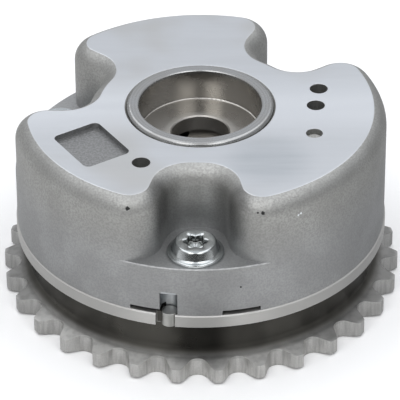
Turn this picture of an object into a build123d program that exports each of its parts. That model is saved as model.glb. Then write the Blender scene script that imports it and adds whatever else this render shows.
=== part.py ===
from build123d import *
import math
import os

# Hydraulic cam phaser for a chain-driven camshaft: a chain wheel that carries a lobed housing,
# and a vane rotor inside it that is bolted to the camshaft.
# Z is the camshaft's axis, and z = 0 is the rear face of the chain wheel. +Z points to the front.
# Lengths are in millimetres. Azimuths are in degrees from +X, turning towards +Y.

# Running, sliding and mounting clearances, all radial or axial on one side
RUNNING_CLEARANCE = 0.05
FACE_CLEARANCE = 0.03
SEAL_CLEARANCE = 0.02
TIP_CLEARANCE = 0.15
BOLT_HOLE_CLEARANCE = 0.3
THREAD_CLEARANCE = 0.02
PRESS_CLEARANCE = 0.01

# Chain wheel
TOOTH_COUNT = 30
CHAIN_PITCH = 9.525
BUSH_RADIUS = 2.54
SEAT_RATIO = 1.01
SEAT_ANGLE = 120.0
FLANK_RADIUS = 19.5
TIP_HEIGHT = 1.438
TIP_CORNER = 0.4
FIRST_GAP_AZIMUTH = -91.2
RIM_WIDTH = 4.75
BEVEL_RISE = 0.62
BEVEL_LENGTH = 4.2
GROOVE_DEPTH = 1.8
FLANGE_OVERHANG = 2.7
FLANGE_THICKNESS = 3.1
FLANGE_HEEL_RADIUS = 1.0
FLANGE_EDGE = 0.3
WHEEL_THICKNESS = 17.1
JOURNAL_RADIUS = 15.03
JOURNAL_CHAMFER = 0.6
REAR_BOSS_WALL = 5.47
REAR_RECESS_DEPTH = 2.5
REAR_RECESS_WALL = 2.8

# Housing
SKIRT_LEDGE = 0.25
SKIRT_HEIGHT = 12.85
SKIRT_EDGE = 0.25
HOUSING_HEIGHT = 28.8
FRONT_WALL = 7.9
VALLEY_DEPTH = 16.75
VALLEY_WALL = 2.65
VALLEY_INNER_CORNER = 6.0
LOBE_CORNER = 7.5
EDGE_RADIUS = 4.9
GRIND_DEPTH = 0.35
CHAMBER_WALL = 4.45
CHAMBER_CORNER = 1.5
SHOE_TIP_CORNER = 0.6
SHOE_WALL_ANGLE = 10.0
NOSE_MOUTH_CHAMFER = 0.5

# The three valleys: azimuth, half-angle between the outer walls, and azimuth of the bolt
VALLEYS = {
    "front": (-91.9, 12.6, -92.0),
    "right": (49.1, 14.6, 49.1),
    "left": (159.4, 18.5, 156.0),
}

# Dark relief slots in the housing's joint face, either side of each valley's axis
SLOT_HEIGHT = 1.2
SLOT_DEPTH = 3.3
SLOT_INNER_ANGLE = 8.2
SLOT_OUTER_ANGLE = 20.0

# Blind holes in the ground face: distance in from the skirt, azimuth, radius and depth
FACE_HOLES = [
    (16.22, -119.72, 2.12, 5.5),
    (14.78, 14.13, 2.12, 5.5),
    (16.55, -0.34, 2.12, 5.5),
    (14.63, -24.61, 1.95, 1.6),
]
HOLE_POINT_ANGLE = 118.0

# Shallow rectangular pocket in the ground face of the left lobe
FACE_POCKET_INSET = 13.77
FACE_POCKET_AZIMUTH = -147.03
FACE_POCKET_SIZE = (12.0, 15.2)
FACE_POCKET_TURN = 32.5
FACE_POCKET_CORNER = 1.5
FACE_POCKET_DEPTH = 1.4

# Housing bolts
BOLT_INSET = 6.95
BOLT_RADIUS = 3.0
BOLT_CORE_RADIUS = 2.3
BOLT_LENGTH = 25.0
BOLT_FLANGE_RADIUS = 6.5
BOLT_FLANGE_THICKNESS = 0.75
BOLT_FLANGE_RISE = 0.35
BOLT_FOOT_RADIUS = 5.45
BOLT_HEAD_RADIUS = 4.75
BOLT_HEAD_HEIGHT = 3.15
BOLT_HEAD_EDGE = 0.7
RECESS_CORE_RADIUS = 2.1
RECESS_LOBE_RADIUS = 0.72
RECESS_LOBE_CIRCLE = 2.05
RECESS_DEPTH = 1.9
RECESS_LOBES = 6

# Locating pin between chain wheel and housing
PIN_RADIUS = 1.9
PIN_INSET = 1.45
PIN_AZIMUTH = -99.9
PIN_STAND_HEIGHT = 0.3
PIN_EDGE = 0.2
NOTCH_WIDTH = 4.5
NOTCH_DEPTH = 1.4
NOTCH_OFFSET = 0.75
PIN_POCKET_CLEARANCE = 0.15
PIN_POCKET_HEIGHT = 5.7

# Rotor
ROTOR_TRAVEL = 30.0
STOP_GAP_ANGLE = 0.25
SMALL_VANE_ANGLE = 24.0
VANE_CORNER = 1.0
VANE_ROOT_RADIUS = 1.0
NOSE_STEP = 2.4
NOSE_STAND = 0.6
NOSE_EDGE = 0.8
NOSE_WALL = 2.8
COUNTERBORE_DEPTH = 7.8
COUNTERBORE_CORNER = 0.4
COUNTERBORE_EDGE = 0.2
CAM_BOLT_HOLE_RADIUS = 6.75
CAM_BOLT_CHAMFER = 0.3
CAM_PILOT_RADIUS = 13.0
CAM_PILOT_DEPTH = 3.0
DOWEL_RADIUS = 2.5
DOWEL_WALL = 0.75
DOWEL_DEPTH = 6.0
DOWEL_AZIMUTH = -90.0
OIL_GROOVE_RADIUS = 8.4
OIL_GROOVE_WIDTH = 3.6
OIL_PORT_RADIUS = 1.3
OIL_DRILL_RADIUS = 1.6
OIL_DRILL_CIRCLE = 9.9
OIL_DRILL_OVERRUN = 2.5
ADVANCE_DRILL_RISE = 15.9
RETARD_DRILL_RISE = 7.5

# Vane and shoe seals with their leaf springs
SEAL_WIDTH = 3.0
SEAL_DEPTH = 2.6
SEAL_GROOVE_DEPTH = 4.4
LEAF_THICKNESS = 0.3
LEAF_WIDTH = 2.6
LEAF_LENGTH = 17.0

# Lock pin, its spring, the cap that the spring seats on, and the bush in the chain wheel
LOCK_BORE_RADIUS = 4.75
LOCK_BORE_WALL = 1.5
LOCK_NOSE_RADIUS = 3.8
LOCK_NOSE_LENGTH = 3.2
LOCK_LIFT = 1.2
LOCK_WALL = 1.4
LOCK_FLOOR = 2.0
LOCK_BUSH_WALL = 1.8
LOCK_BUSH_DEPTH = 4.0
LOCK_BUSH_CLEARANCE = 0.25
LOCK_CAP_THICKNESS = 1.6
LOCK_VENT_RADIUS = 1.2
LOCK_VENT_GROOVE_DEPTH = 0.8
SPRING_WIRE_RADIUS = 0.4
SPRING_WALL_GAP = 0.25
SPRING_TURNS = 6.5

# Heights and radii that follow from the sizes above
JOINT_FACE = WHEEL_THICKNESS
VALLEY_FLOOR = JOINT_FACE + SKIRT_HEIGHT
FRONT_FACE = JOINT_FACE + HOUSING_HEIGHT
CHAMBER_TOP = FRONT_FACE - FRONT_WALL
ROTOR_REAR = JOINT_FACE + FACE_CLEARANCE
VANE_TOP = CHAMBER_TOP - FACE_CLEARANCE
NOSE_TOP = FRONT_FACE + NOSE_STAND
COUNTERBORE_FLOOR = NOSE_TOP - COUNTERBORE_DEPTH
CAM_SEAT = ROTOR_REAR + CAM_PILOT_DEPTH
ADVANCE_DRILL_HEIGHT = JOINT_FACE + ADVANCE_DRILL_RISE
RETARD_DRILL_HEIGHT = JOINT_FACE + RETARD_DRILL_RISE
PITCH_RADIUS = CHAIN_PITCH / (2 * math.sin(math.pi / TOOTH_COUNT))
TIP_RADIUS = PITCH_RADIUS + TIP_HEIGHT
NECK_RADIUS = TIP_RADIUS - BEVEL_LENGTH - GROOVE_DEPTH
FLANGE_RADIUS = NECK_RADIUS + FLANGE_OVERHANG
REAR_BOSS_RADIUS = JOURNAL_RADIUS + REAR_BOSS_WALL
HOUSING_RADIUS = FLANGE_RADIUS - SKIRT_LEDGE
VALLEY_BACK_RADIUS = HOUSING_RADIUS - VALLEY_DEPTH
BOLT_CIRCLE_RADIUS = HOUSING_RADIUS - BOLT_INSET
PIN_CIRCLE_RADIUS = HOUSING_RADIUS - PIN_INSET
PIN_POCKET_RADIUS = PIN_RADIUS + PIN_POCKET_CLEARANCE
CHAMBER_RADIUS = HOUSING_RADIUS - CHAMBER_WALL
VANE_RADIUS = CHAMBER_RADIUS - TIP_CLEARANCE
SHOE_TIP_RADIUS = VALLEY_BACK_RADIUS - VALLEY_WALL - SEAL_GROOVE_DEPTH
HUB_RADIUS = SHOE_TIP_RADIUS - TIP_CLEARANCE
NOSE_RADIUS = HUB_RADIUS - NOSE_STEP
COUNTERBORE_RADIUS = NOSE_RADIUS - NOSE_WALL
DOWEL_CIRCLE_RADIUS = CAM_BOLT_HOLE_RADIUS + DOWEL_WALL + DOWEL_RADIUS
LOCK_CIRCLE_RADIUS = VANE_RADIUS - SEAL_GROOVE_DEPTH - LOCK_BORE_WALL - LOCK_BORE_RADIUS
LOCK_NOSE_TIP = JOINT_FACE + SEAL_CLEARANCE
LOCK_SHOULDER = LOCK_NOSE_TIP + LOCK_NOSE_LENGTH
LOCK_CAVITY_FLOOR = LOCK_SHOULDER + LOCK_FLOOR
LOCK_CAP_BOTTOM = VANE_TOP - LOCK_CAP_THICKNESS
LOCK_PIN_TOP = LOCK_CAP_BOTTOM - LOCK_LIFT - FACE_CLEARANCE
LOCK_BUSH_INNER = LOCK_NOSE_RADIUS + LOCK_BUSH_CLEARANCE
LOCK_BUSH_RADIUS = LOCK_BUSH_INNER + LOCK_BUSH_WALL
CUT_MARGIN = 2.0
CORNER_ROOM = 0.95


def polar(radius, azimuth, height=0.0):
    angle = math.radians(azimuth)
    return Vector(radius * math.cos(angle), radius * math.sin(angle), height)


def disc(radius, bottom, top, centre=Vector(0, 0, 0)):
    """A round solid between two heights."""
    base = Pos(centre.X, centre.Y, bottom)
    return base * Cylinder(radius, top - bottom, align=(Align.CENTER, Align.CENTER, Align.MIN))


def block(length, width, bottom, top, centre, azimuth, radial_align=Align.CENTER):
    """A box with its length along an azimuth and its width across it."""
    place = Pos(centre.X, centre.Y, bottom) * Rot(0, 0, azimuth)
    return place * Box(length, width, top - bottom, align=(radial_align, Align.CENTER, Align.MIN))


def slab(face, bottom, top):
    """A plane face pulled up between two heights."""
    return Pos(0, 0, bottom) * extrude(face, top - bottom)


def turned(edges):
    """A ring turned from edges drawn in the plane of X (radius) and Z (height)."""
    return revolve(make_face(edges), Axis.Z)


def turned_polygon(points):
    corners = [Vector(radius, 0, height) for radius, height in points]
    return turned(Polyline(*corners, close=True))


def arc_about(centre, radius, start, middle, end):
    """An arc through three directions about a centre in a level plane."""
    points = [centre + polar(radius, direction) for direction in (start, middle, end)]
    return ThreePointArc(*points)


def corner_angle(corner, centre_radius):
    return math.degrees(math.asin(corner / centre_radius))


def fitting_corners(lobes, outer, inner, outer_corner, inner_corner):
    """Both corner radii, smaller where a gap is too narrow or its sides too short for them."""
    gaps = [(following[0] - lobe[1]) % 360 for lobe, following in zip(lobes, lobes[1:] + lobes[:1])]
    sine = math.sin(math.radians(min(gaps) / 2))
    inner_corner = min(inner_corner, CORNER_ROOM * inner * sine / (1 - sine))
    share = min(1.0, CORNER_ROOM * (outer - inner) / (outer_corner + inner_corner))
    return outer_corner * share, inner_corner * share


def lobed_face(lobes, outer, inner, outer_corner, inner_corner):
    """A face bounded by an inner circle that swells to an outer circle over each lobe.

    Each lobe is a pair of azimuths, its sides are radial, and each corner is a tangent arc.
    """
    outer_corner, inner_corner = fitting_corners(lobes, outer, inner, outer_corner, inner_corner)
    outer_centre = outer - outer_corner
    inner_centre = inner + inner_corner
    outer_turn = corner_angle(outer_corner, outer_centre)
    inner_turn = corner_angle(inner_corner, inner_centre)
    outer_reach = math.sqrt(outer_centre**2 - outer_corner**2)
    inner_reach = math.sqrt(inner_centre**2 - inner_corner**2)
    edges = []
    for index, (start, end) in enumerate(lobes):
        next_start = lobes[(index + 1) % len(lobes)][0]
        while next_start < end:
            next_start += 360
        root = polar(inner_centre, start - inner_turn)
        edges.append(arc_about(root, inner_corner, start - inner_turn + 180,
                               start + 135 - inner_turn / 2, start + 90))
        edges.append(Line(polar(inner_reach, start), polar(outer_reach, start)))
        shoulder = polar(outer_centre, start + outer_turn)
        edges.append(arc_about(shoulder, outer_corner, start - 90,
                               start - 45 + outer_turn / 2, start + outer_turn))
        edges.append(ThreePointArc(polar(outer, start + outer_turn), polar(outer, (start + end) / 2),
                                   polar(outer, end - outer_turn)))
        shoulder = polar(outer_centre, end - outer_turn)
        edges.append(arc_about(shoulder, outer_corner, end - outer_turn,
                               end + 45 - outer_turn / 2, end + 90))
        edges.append(Line(polar(outer_reach, end), polar(inner_reach, end)))
        root = polar(inner_centre, end + inner_turn)
        edges.append(arc_about(root, inner_corner, end - 90, end - 135 + inner_turn / 2,
                               end + inner_turn - 180))
        edges.append(ThreePointArc(polar(inner, end + inner_turn), polar(inner, (end + next_start) / 2),
                                   polar(inner, next_start - inner_turn)))
    return make_face(edges)


def lobes_between(gaps):
    """The azimuth pairs between gaps, each gap given as its azimuth and half-angle."""
    lobes = []
    for index, (azimuth, half) in enumerate(gaps):
        next_azimuth, next_half = gaps[(index + 1) % len(gaps)]
        while next_azimuth < azimuth:
            next_azimuth += 360
        lobes.append((azimuth + half, next_azimuth - next_half))
    return lobes


CHAMBER_NAMES = ["right", "back", "left"]
VALLEY_GAPS = [(azimuth, half) for azimuth, half, _ in VALLEYS.values()]
SHOES = [(azimuth, half + SHOE_WALL_ANGLE) for azimuth, half in VALLEY_GAPS]
CHAMBERS = dict(zip(CHAMBER_NAMES, lobes_between(SHOES)))
VANE_CENTRES = {name: (start + end) / 2 for name, (start, end) in CHAMBERS.items()}
STOP_VANE = max(CHAMBERS, key=lambda name: CHAMBERS[name][1] - CHAMBERS[name][0])
STOP_VANE_ANGLE = CHAMBERS[STOP_VANE][1] - CHAMBERS[STOP_VANE][0] - ROTOR_TRAVEL - 2 * STOP_GAP_ANGLE
VANE_ANGLES = {name: STOP_VANE_ANGLE if name == STOP_VANE else SMALL_VANE_ANGLE for name in CHAMBERS}
LOCK_AZIMUTH = VANE_CENTRES[STOP_VANE]
RETARD_LOCK_AZIMUTH = LOCK_AZIMUTH + ROTOR_TRAVEL / 2


def tooth_face():
    """The chain wheel's outline: round seats, convex flanks and short lands on the tip circle."""
    seat_radius = BUSH_RADIUS * SEAT_RATIO
    half_seat = SEAT_ANGLE / 2
    pitch_angle = 360 / TOOTH_COUNT
    seat_end = Vector(-math.cos(math.radians(half_seat)), math.sin(math.radians(half_seat)))
    seat_centre = Vector(PITCH_RADIUS, 0)
    flank_start = seat_centre + seat_end * seat_radius
    flank_centre = seat_centre + seat_end * (seat_radius + FLANK_RADIUS)
    distance = flank_centre.length
    lean = math.degrees(math.atan2(flank_centre.Y, flank_centre.X))
    opening = (TIP_RADIUS**2 + distance**2 - FLANK_RADIUS**2) / (2 * TIP_RADIUS * distance)
    flank_end_azimuth = lean - math.degrees(math.acos(opening))
    flank_end = polar(TIP_RADIUS, flank_end_azimuth)
    chord_middle = (flank_start + flank_end) * 0.5
    flank_middle = flank_centre + (chord_middle - flank_centre).normalized() * FLANK_RADIUS
    edges = []
    for index in range(TOOTH_COUNT):
        azimuth = FIRST_GAP_AZIMUTH + index * pitch_angle

        def placed(point, mirrored=False):
            x, y = point.X, -point.Y if mirrored else point.Y
            return Vector(x, y).rotate(Axis.Z, azimuth)

        seat_bottom = placed(Vector(PITCH_RADIUS - seat_radius, 0))
        edges.append(ThreePointArc(placed(flank_end, True), placed(flank_middle, True),
                                   placed(flank_start, True)))
        edges.append(ThreePointArc(placed(flank_start, True), seat_bottom, placed(flank_start)))
        edges.append(ThreePointArc(placed(flank_start), placed(flank_middle), placed(flank_end)))
        edges.append(ThreePointArc(placed(flank_end), polar(TIP_RADIUS, azimuth + pitch_angle / 2),
                                   polar(TIP_RADIUS, azimuth + pitch_angle - flank_end_azimuth)))
    face = make_face(edges)
    tips = [corner for corner in face.vertices() if math.hypot(corner.X, corner.Y) > PITCH_RADIUS]
    return fillet(tips, TIP_CORNER)


def wheel_blank():
    """The turned blank: journal bore, bevelled rim, waisted neck and flange."""
    bevel_start = TIP_RADIUS - BEVEL_LENGTH
    bevel_angle = math.degrees(math.atan2(BEVEL_RISE, BEVEL_LENGTH))
    sweep = math.radians(90 - bevel_angle)
    groove_radius = (bevel_start - NECK_RADIUS) / (1 - math.cos(sweep))
    groove_top = RIM_WIDTH + groove_radius * math.sin(sweep)
    groove_centre = Vector(NECK_RADIUS + groove_radius, 0, groove_top)
    half_sweep = sweep / 2
    groove_middle = groove_centre - Vector(math.cos(half_sweep), 0, math.sin(half_sweep)) * groove_radius
    heel_centre = Vector(NECK_RADIUS + FLANGE_HEEL_RADIUS, 0,
                         JOINT_FACE - FLANGE_THICKNESS - FLANGE_HEEL_RADIUS)
    diagonal = math.sqrt(0.5) * FLANGE_HEEL_RADIUS
    heel_middle = heel_centre + Vector(-diagonal, 0, diagonal)
    recess_outer = PITCH_RADIUS - BUSH_RADIUS - REAR_RECESS_WALL
    rear = [
        (JOURNAL_RADIUS, JOURNAL_CHAMFER), (JOURNAL_RADIUS + JOURNAL_CHAMFER, 0),
        (REAR_BOSS_RADIUS, 0), (REAR_BOSS_RADIUS, REAR_RECESS_DEPTH),
        (recess_outer, REAR_RECESS_DEPTH), (recess_outer, 0), (bevel_start, 0),
        (TIP_RADIUS, BEVEL_RISE), (TIP_RADIUS, RIM_WIDTH - BEVEL_RISE), (bevel_start, RIM_WIDTH),
    ]
    front = [
        (NECK_RADIUS + FLANGE_HEEL_RADIUS, JOINT_FACE - FLANGE_THICKNESS),
        (FLANGE_RADIUS, JOINT_FACE - FLANGE_THICKNESS), (FLANGE_RADIUS, JOINT_FACE - FLANGE_EDGE),
        (FLANGE_RADIUS - FLANGE_EDGE, JOINT_FACE), (JOURNAL_RADIUS + JOURNAL_CHAMFER, JOINT_FACE),
        (JOURNAL_RADIUS, JOINT_FACE - JOURNAL_CHAMFER), (JOURNAL_RADIUS, JOURNAL_CHAMFER),
    ]
    rear = [Vector(radius, 0, height) for radius, height in rear]
    front = [Vector(radius, 0, height) for radius, height in front]
    groove_end = Vector(NECK_RADIUS, 0, groove_top)
    heel_start = Vector(NECK_RADIUS, 0, heel_centre.Z)
    return turned([
        Polyline(*rear), ThreePointArc(rear[-1], groove_middle, groove_end),
        Line(groove_end, heel_start), ThreePointArc(heel_start, heel_middle, front[0]), Polyline(*front),
    ])


def make_sprocket():
    wheel = wheel_blank()
    clear_of_neck = RIM_WIDTH + (JOINT_FACE - FLANGE_THICKNESS - RIM_WIDTH) / 2
    gaps = Circle(TIP_RADIUS + CUT_MARGIN) - tooth_face()
    wheel -= slab(gaps, -CUT_MARGIN, clear_of_neck)
    for _, _, bolt_azimuth in VALLEYS.values():
        place = polar(BOLT_CIRCLE_RADIUS, bolt_azimuth)
        wheel -= disc(BOLT_RADIUS + THREAD_CLEARANCE, -CUT_MARGIN, JOINT_FACE + CUT_MARGIN, place)
    bush = polar(LOCK_CIRCLE_RADIUS, RETARD_LOCK_AZIMUTH)
    wheel -= disc(LOCK_BUSH_RADIUS + PRESS_CLEARANCE, JOINT_FACE - LOCK_BUSH_DEPTH,
                  JOINT_FACE + CUT_MARGIN, bush)
    wheel -= disc(OIL_DRILL_RADIUS, -CUT_MARGIN, JOINT_FACE, bush)
    pin = polar(PIN_CIRCLE_RADIUS, PIN_AZIMUTH)
    flange_bottom = JOINT_FACE - FLANGE_THICKNESS
    wheel -= disc(PIN_RADIUS + PRESS_CLEARANCE, flange_bottom, JOINT_FACE + CUT_MARGIN, pin)
    notch = polar(FLANGE_RADIUS - NOTCH_DEPTH, PIN_AZIMUTH) + polar(NOTCH_OFFSET, PIN_AZIMUTH - 90)
    wheel -= block(NOTCH_DEPTH + CUT_MARGIN, NOTCH_WIDTH, flange_bottom - CUT_MARGIN,
                   JOINT_FACE + CUT_MARGIN, notch, PIN_AZIMUTH, Align.MIN)
    return wheel


def housing_body():
    """The cast form: lobes with a large edge radius, ground flat in front, on a round skirt."""
    outline = lobed_face(lobes_between(VALLEY_GAPS), HOUSING_RADIUS, VALLEY_BACK_RADIUS,
                         LOBE_CORNER, VALLEY_INNER_CORNER)
    raw_top = FRONT_FACE + GRIND_DEPTH
    body = slab(outline, JOINT_FACE, raw_top)
    body = fillet(body.faces().sort_by(Axis.Z)[-1].edges(), EDGE_RADIUS)
    body -= disc(HOUSING_RADIUS + CUT_MARGIN, FRONT_FACE, raw_top + CUT_MARGIN)
    skirt = disc(HOUSING_RADIUS, JOINT_FACE, VALLEY_FLOOR)
    return body + chamfer(skirt.faces().sort_by(Axis.Z)[-1].edges(), SKIRT_EDGE)


def slot_sector(azimuth, half):
    """A shallow sector cut into the housing's joint face from outside."""
    inner = HOUSING_RADIUS - SLOT_DEPTH
    outer = HOUSING_RADIUS + CUT_MARGIN
    start, end = azimuth - half, azimuth + half
    face = make_face([
        Line(polar(inner, start), polar(outer, start)),
        ThreePointArc(polar(outer, start), polar(outer, azimuth), polar(outer, end)),
        Line(polar(outer, end), polar(inner, end)),
        ThreePointArc(polar(inner, end), polar(inner, azimuth), polar(inner, start)),
    ])
    return slab(face, JOINT_FACE - CUT_MARGIN, JOINT_FACE + SLOT_HEIGHT)


def blind_hole(inset, azimuth, radius, depth):
    """A drilled hole with a conical bottom, down from the ground face."""
    centre = polar(HOUSING_RADIUS - inset, azimuth)
    point = radius / math.tan(math.radians(HOLE_POINT_ANGLE / 2))
    top = FRONT_FACE + CUT_MARGIN
    floor = FRONT_FACE - depth
    drill = turned_polygon([(0, floor - point), (radius, floor), (radius, top), (0, top)])
    return Pos(centre.X, centre.Y, 0) * drill


def make_housing():
    housing = housing_body()
    cavity = lobed_face(list(CHAMBERS.values()), CHAMBER_RADIUS, SHOE_TIP_RADIUS,
                        CHAMBER_CORNER, SHOE_TIP_CORNER)
    housing -= slab(cavity, JOINT_FACE - CUT_MARGIN, CHAMBER_TOP)
    nose_bore = NOSE_RADIUS + RUNNING_CLEARANCE
    mouth = nose_bore + NOSE_MOUTH_CHAMFER
    housing -= turned_polygon([
        (0, JOINT_FACE), (nose_bore, JOINT_FACE), (nose_bore, FRONT_FACE - NOSE_MOUTH_CHAMFER),
        (mouth, FRONT_FACE), (mouth, FRONT_FACE + CUT_MARGIN), (0, FRONT_FACE + CUT_MARGIN),
    ])
    for hole in FACE_HOLES:
        housing -= blind_hole(*hole)
    outline = RectangleRounded(*FACE_POCKET_SIZE, FACE_POCKET_CORNER)
    pocket = extrude(outline, FACE_POCKET_DEPTH + CUT_MARGIN)
    pocket_floor = FRONT_FACE - FACE_POCKET_DEPTH
    centre = polar(HOUSING_RADIUS - FACE_POCKET_INSET, FACE_POCKET_AZIMUTH, pocket_floor)
    housing -= Pos(*centre) * Rot(0, 0, FACE_POCKET_TURN) * pocket
    slot_middle = (SLOT_INNER_ANGLE + SLOT_OUTER_ANGLE) / 2
    slot_half = (SLOT_OUTER_ANGLE - SLOT_INNER_ANGLE) / 2
    for azimuth, _, bolt_azimuth in VALLEYS.values():
        place = polar(BOLT_CIRCLE_RADIUS, bolt_azimuth)
        housing -= disc(BOLT_RADIUS + BOLT_HOLE_CLEARANCE, JOINT_FACE - CUT_MARGIN,
                        VALLEY_FLOOR + CUT_MARGIN, place)
        for side in (-1, 1):
            housing -= slot_sector(azimuth + side * slot_middle, slot_half)
        groove_floor = SHOE_TIP_RADIUS + SEAL_GROOVE_DEPTH
        width = SEAL_WIDTH + 2 * SEAL_CLEARANCE
        housing -= block(groove_floor - HUB_RADIUS / 2, width, JOINT_FACE - CUT_MARGIN, CHAMBER_TOP,
                         polar(HUB_RADIUS / 2, azimuth), azimuth, Align.MIN)
    pin = polar(PIN_CIRCLE_RADIUS, PIN_AZIMUTH)
    pocket_top = JOINT_FACE + PIN_POCKET_HEIGHT
    housing -= disc(PIN_POCKET_RADIUS, JOINT_FACE - CUT_MARGIN, pocket_top, pin)
    housing -= block(PIN_POCKET_RADIUS + CUT_MARGIN, 2 * PIN_POCKET_RADIUS, JOINT_FACE - CUT_MARGIN,
                     pocket_top, pin, PIN_AZIMUTH, Align.MIN)
    return housing


def make_locating_pin():
    pin = disc(PIN_RADIUS, JOINT_FACE - FLANGE_THICKNESS, JOINT_FACE + PIN_STAND_HEIGHT,
               polar(PIN_CIRCLE_RADIUS, PIN_AZIMUTH))
    return fillet(pin.faces().sort_by(Axis.Z)[-1].edges(), PIN_EDGE)


def six_lobe_recess():
    recess = Circle(RECESS_CORE_RADIUS)
    for index in range(RECESS_LOBES):
        lobe = polar(RECESS_LOBE_CIRCLE, index * 360 / RECESS_LOBES)
        recess += Pos(lobe.X, lobe.Y, 0) * Circle(RECESS_LOBE_RADIUS)
    return recess


def make_bolt(azimuth):
    """A flange bolt with a six-lobe recess, screwed down on the valley floor."""
    head_top = VALLEY_FLOOR + BOLT_HEAD_HEIGHT
    flange_top = VALLEY_FLOOR + BOLT_FLANGE_THICKNESS
    tip = VALLEY_FLOOR - BOLT_LENGTH
    point = BOLT_RADIUS - BOLT_CORE_RADIUS
    head_foot = flange_top + BOLT_FLANGE_RISE
    bolt = turned_polygon([
        (0, tip), (BOLT_RADIUS - point, tip), (BOLT_RADIUS, tip + point), (BOLT_RADIUS, VALLEY_FLOOR),
        (BOLT_FLANGE_RADIUS, VALLEY_FLOOR), (BOLT_FLANGE_RADIUS, flange_top),
        (BOLT_FOOT_RADIUS, head_foot), (BOLT_HEAD_RADIUS, head_top), (0, head_top),
    ])
    bolt = fillet(bolt.faces().sort_by(Axis.Z)[-1].edges(), BOLT_HEAD_EDGE)
    bolt -= slab(six_lobe_recess(), head_top - RECESS_DEPTH, head_top + CUT_MARGIN)
    place = polar(BOLT_CIRCLE_RADIUS, azimuth)
    return Pos(place.X, place.Y, 0) * bolt


def radial_drilling(azimuth, height, inner, outer):
    start = polar(inner, azimuth, height)
    plane = Plane(origin=start, z_dir=polar(1, azimuth))
    return plane * Cylinder(OIL_PORT_RADIUS, outer - inner, align=(Align.CENTER, Align.CENTER, Align.MIN))


def make_rotor():
    vanes = []
    for name, centre in VANE_CENTRES.items():
        half = VANE_ANGLES[name] / 2
        vanes.append((centre - half, centre + half))
    outline = lobed_face(vanes, VANE_RADIUS, HUB_RADIUS, VANE_CORNER, VANE_ROOT_RADIUS)
    rotor = slab(outline, ROTOR_REAR, VANE_TOP)
    nose = disc(NOSE_RADIUS, ROTOR_REAR, NOSE_TOP)
    rotor += fillet(nose.faces().sort_by(Axis.Z)[-1].edges(), NOSE_EDGE)
    groove_bottom = ADVANCE_DRILL_HEIGHT - OIL_GROOVE_WIDTH / 2
    groove_top = ADVANCE_DRILL_HEIGHT + OIL_GROOVE_WIDTH / 2
    rotor -= turned_polygon([
        (0, ROTOR_REAR - CUT_MARGIN), (CAM_PILOT_RADIUS, ROTOR_REAR - CUT_MARGIN),
        (CAM_PILOT_RADIUS, CAM_SEAT), (CAM_BOLT_HOLE_RADIUS, CAM_SEAT),
        (CAM_BOLT_HOLE_RADIUS, groove_bottom), (OIL_GROOVE_RADIUS, groove_bottom),
        (OIL_GROOVE_RADIUS, groove_top), (CAM_BOLT_HOLE_RADIUS, groove_top),
        (CAM_BOLT_HOLE_RADIUS, COUNTERBORE_FLOOR - CAM_BOLT_CHAMFER),
        (CAM_BOLT_HOLE_RADIUS + CAM_BOLT_CHAMFER, COUNTERBORE_FLOOR),
        (CAM_BOLT_HOLE_RADIUS + CAM_BOLT_CHAMFER, COUNTERBORE_FLOOR + CUT_MARGIN),
        (0, COUNTERBORE_FLOOR + CUT_MARGIN),
    ])
    mouth = COUNTERBORE_RADIUS + COUNTERBORE_EDGE
    counterbore = turned_polygon([
        (0, COUNTERBORE_FLOOR), (COUNTERBORE_RADIUS, COUNTERBORE_FLOOR),
        (COUNTERBORE_RADIUS, NOSE_TOP - COUNTERBORE_EDGE), (mouth, NOSE_TOP),
        (mouth, NOSE_TOP + CUT_MARGIN), (0, NOSE_TOP + CUT_MARGIN),
    ])
    rotor -= fillet(counterbore.faces().sort_by(Axis.Z)[0].edges(), COUNTERBORE_CORNER)
    dowel = polar(DOWEL_CIRCLE_RADIUS, DOWEL_AZIMUTH)
    rotor -= disc(DOWEL_RADIUS, ROTOR_REAR, CAM_SEAT + DOWEL_DEPTH, dowel)
    for name, centre in VANE_CENTRES.items():
        side = VANE_ANGLES[name] / 2 + corner_angle(VANE_ROOT_RADIUS, HUB_RADIUS)
        outer = HUB_RADIUS + OIL_DRILL_RADIUS
        rotor -= radial_drilling(centre + side, ADVANCE_DRILL_HEIGHT, CAM_BOLT_HOLE_RADIUS, outer)
        rotor -= radial_drilling(centre - side, RETARD_DRILL_HEIGHT, OIL_DRILL_CIRCLE, outer)
        rotor -= disc(OIL_DRILL_RADIUS, ROTOR_REAR, RETARD_DRILL_HEIGHT + OIL_DRILL_OVERRUN,
                      polar(OIL_DRILL_CIRCLE, centre - side))
        groove_floor = VANE_RADIUS - SEAL_GROOVE_DEPTH
        rotor -= block(SEAL_GROOVE_DEPTH + CUT_MARGIN, SEAL_WIDTH + 2 * SEAL_CLEARANCE,
                       ROTOR_REAR - CUT_MARGIN, VANE_TOP + CUT_MARGIN, polar(groove_floor, centre),
                       centre, Align.MIN)
    lock = polar(LOCK_CIRCLE_RADIUS, LOCK_AZIMUTH)
    rotor -= disc(LOCK_BORE_RADIUS, ROTOR_REAR - CUT_MARGIN, VANE_TOP + CUT_MARGIN, lock)
    vent = block(LOCK_CIRCLE_RADIUS, 2 * LOCK_VENT_RADIUS, VANE_TOP - LOCK_VENT_GROOVE_DEPTH,
                 VANE_TOP + CUT_MARGIN, Vector(0, 0, 0), LOCK_AZIMUTH, Align.MIN)
    rotor -= vent - disc(NOSE_RADIUS, ROTOR_REAR, NOSE_TOP)
    return rotor


def make_seal(azimuth, inner_face, outer_face, bottom, top, sealing_radius, faces_out):
    """A seal bar in its groove, with the sealing side turned to the radius that it runs on."""
    bar = block(outer_face - inner_face + SEAL_DEPTH / 2, SEAL_WIDTH, bottom, top,
                polar(inner_face - (0 if faces_out else SEAL_DEPTH / 2), azimuth), azimuth, Align.MIN)
    round_side = disc(sealing_radius, bottom, top)
    return bar & round_side if faces_out else bar - round_side


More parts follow.
